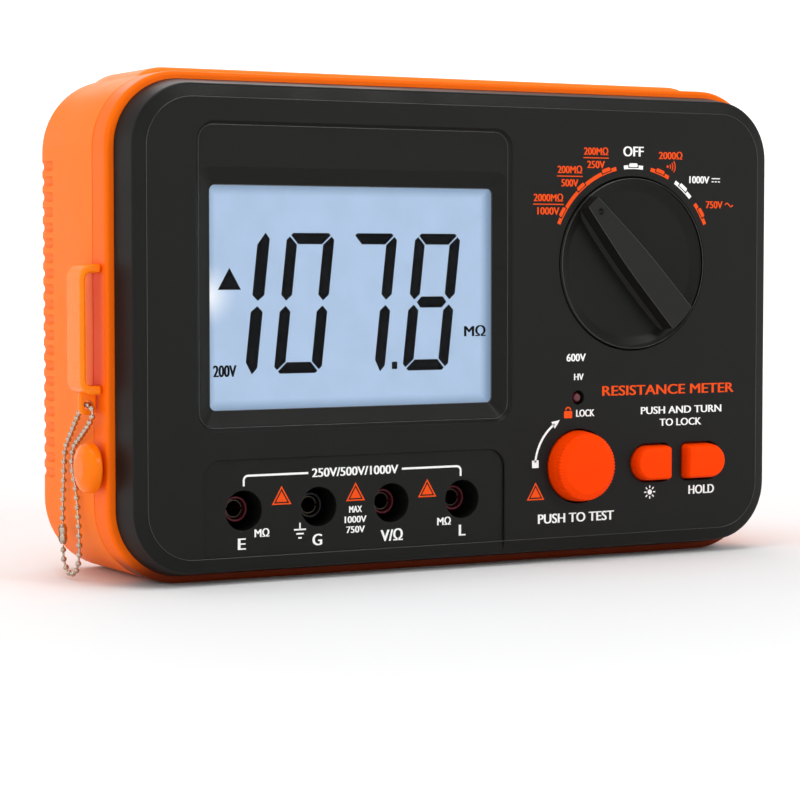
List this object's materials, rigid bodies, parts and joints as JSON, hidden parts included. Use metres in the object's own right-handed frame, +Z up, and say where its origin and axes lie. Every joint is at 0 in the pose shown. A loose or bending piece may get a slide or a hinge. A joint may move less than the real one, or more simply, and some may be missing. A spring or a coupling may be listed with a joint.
{
  "type": "insulation resistance tester",
  "caption": "Upright handheld insulation resistance tester with a display, a range dial, a press-and-turn test button, keys, shrouded jacks and a strap loop with a ball chain.",
  "frame": {"origin": "middle of the bounding box at its bottom, on the surface the tester stands on, measured without the ball chain", "axes": "+X to the right of the face, -Y out of the face, +Z up; the tester stands on its long lower edge"},
  "size_m": [0.2176, 0.0616, 0.1347],
  "materials": {
    "case_orange": "fine moulded satin",
    "trim_orange": "smooth moulded",
    "cover_black": "fine spark texture with white and orange legends",
    "dial_black": "satin moulded",
    "window_clear": "clear polished",
    "lcd_blue": "backlit pale blue with dark segments",
    "diffuser_white": "milky",
    "connector_rubber": "striped elastomer",
    "switch_black": "moulded",
    "pad_rubber": "soft silicone",
    "plunger_white": "moulded",
    "led_red": "clear tinted",
    "jack_red": "moulded",
    "jack_black": "moulded",
    "contact_brass": "plated",
    "board_green": "solder mask",
    "transformer_core": "laminated core and taped winding",
    "capacitor_blue": "sleeved can",
    "fuse_glass": "glass tube with metal ends",
    "relay_blue": "moulded",
    "cell_wrap": "printed sleeve and steel ends",
    "tray_black": "moulded",
    "steel": "zinc plated",
    "chain_silver": "nickel plated"
  },
  "bodies": {
    "case": {"ball_chain": "chain_silver", "battery_cell_11": "cell_wrap", "battery_cell_12": "cell_wrap", "battery_cell_13": "cell_wrap", "battery_cell_21": "cell_wrap", "battery_cell_22": "cell_wrap", "battery_cell_23": "cell_wrap", "battery_contact_left": "steel", "battery_contact_right": "steel", "battery_cover": "case_orange", "battery_cover_screw": "steel", "battery_tray": "tray_black", "button_pad": "pad_rubber", "buzzer": "switch_black", "case_screw_1": "steel", "case_screw_2": "steel", "case_screw_3": "steel", "case_screw_4": "steel", "chain_clasp": "chain_silver", "display_window": "window_clear", "front_cover": "cover_black", "front_frame": "case_orange", "fuse": "fuse_glass", "hv_capacitor": "capacitor_blue", "hv_led": "led_red", "hv_transformer": "transformer_core", "jack_body_earth": "jack_red", "jack_body_guard": "jack_black", "jack_body_line": "jack_red", "jack_body_volt": "jack_red", "jack_contact_earth": "contact_brass", "jack_contact_guard": "contact_brass", "jack_contact_line": "contact_brass", "jack_contact_volt": "contact_brass", "jack_panel": "cover_black", "lcd_backlight": "diffuser_white", "lcd_connector": "connector_rubber", "lcd_panel": "lcd_blue", "main_board": "board_green", "measuring_chip": "switch_black", "rear_shell": "case_orange", "relay": "relay_blue", "stand_pin_left": "steel", "stand_pin_right": "steel", "strap_loop_left": "case_orange", "strap_loop_right": "case_orange", "strap_stud_left": "trim_orange", "strap_stud_right": "trim_orange", "test_switch": "switch_black"},
    "dial": {"range_dial": "dial_black", "dial_rotor": "plunger_white"},
    "test_plunger": {"test_plunger": "plunger_white"},
    "test_cap": {"test_button": "trim_orange"},
    "backlight_key": {"backlight_button": "trim_orange"},
    "hold_key": {"hold_button": "trim_orange"},
    "stand": {"tilt_stand": "case_orange"}
  },
  "joints": [
    {"name": "dial_turn", "type": "hinge", "parent": "case", "child": "dial", "pos_m": [0.05235, -0.0252, 0.0831], "axis": [0, 1, 0], "range_deg": [-17, 103]},
    {"name": "test_press", "type": "slide", "parent": "case", "child": "test_plunger", "axis": [0, 1, 0], "range_m": [0, 0.0025], "stiffness_N_per_m": 400},
    {"name": "test_lock_turn", "type": "hinge", "parent": "test_plunger", "child": "test_cap", "pos_m": [0.0345, -0.0252, 0.02675], "axis": [0, 1, 0], "range_deg": [0, 65]},
    {"name": "backlight_press", "type": "slide", "parent": "case", "child": "backlight_key", "axis": [0, 1, 0], "range_m": [0, 0.0012], "stiffness_N_per_m": 500},
    {"name": "hold_press", "type": "slide", "parent": "case", "child": "hold_key", "axis": [0, 1, 0], "range_m": [0, 0.0012], "stiffness_N_per_m": 500},
    {"name": "stand_fold", "type": "hinge", "parent": "case", "child": "stand", "pos_m": [0, 0.0287, 0.1135], "axis": [1, 0, 0], "range_deg": [0, 70]}
  ]
}
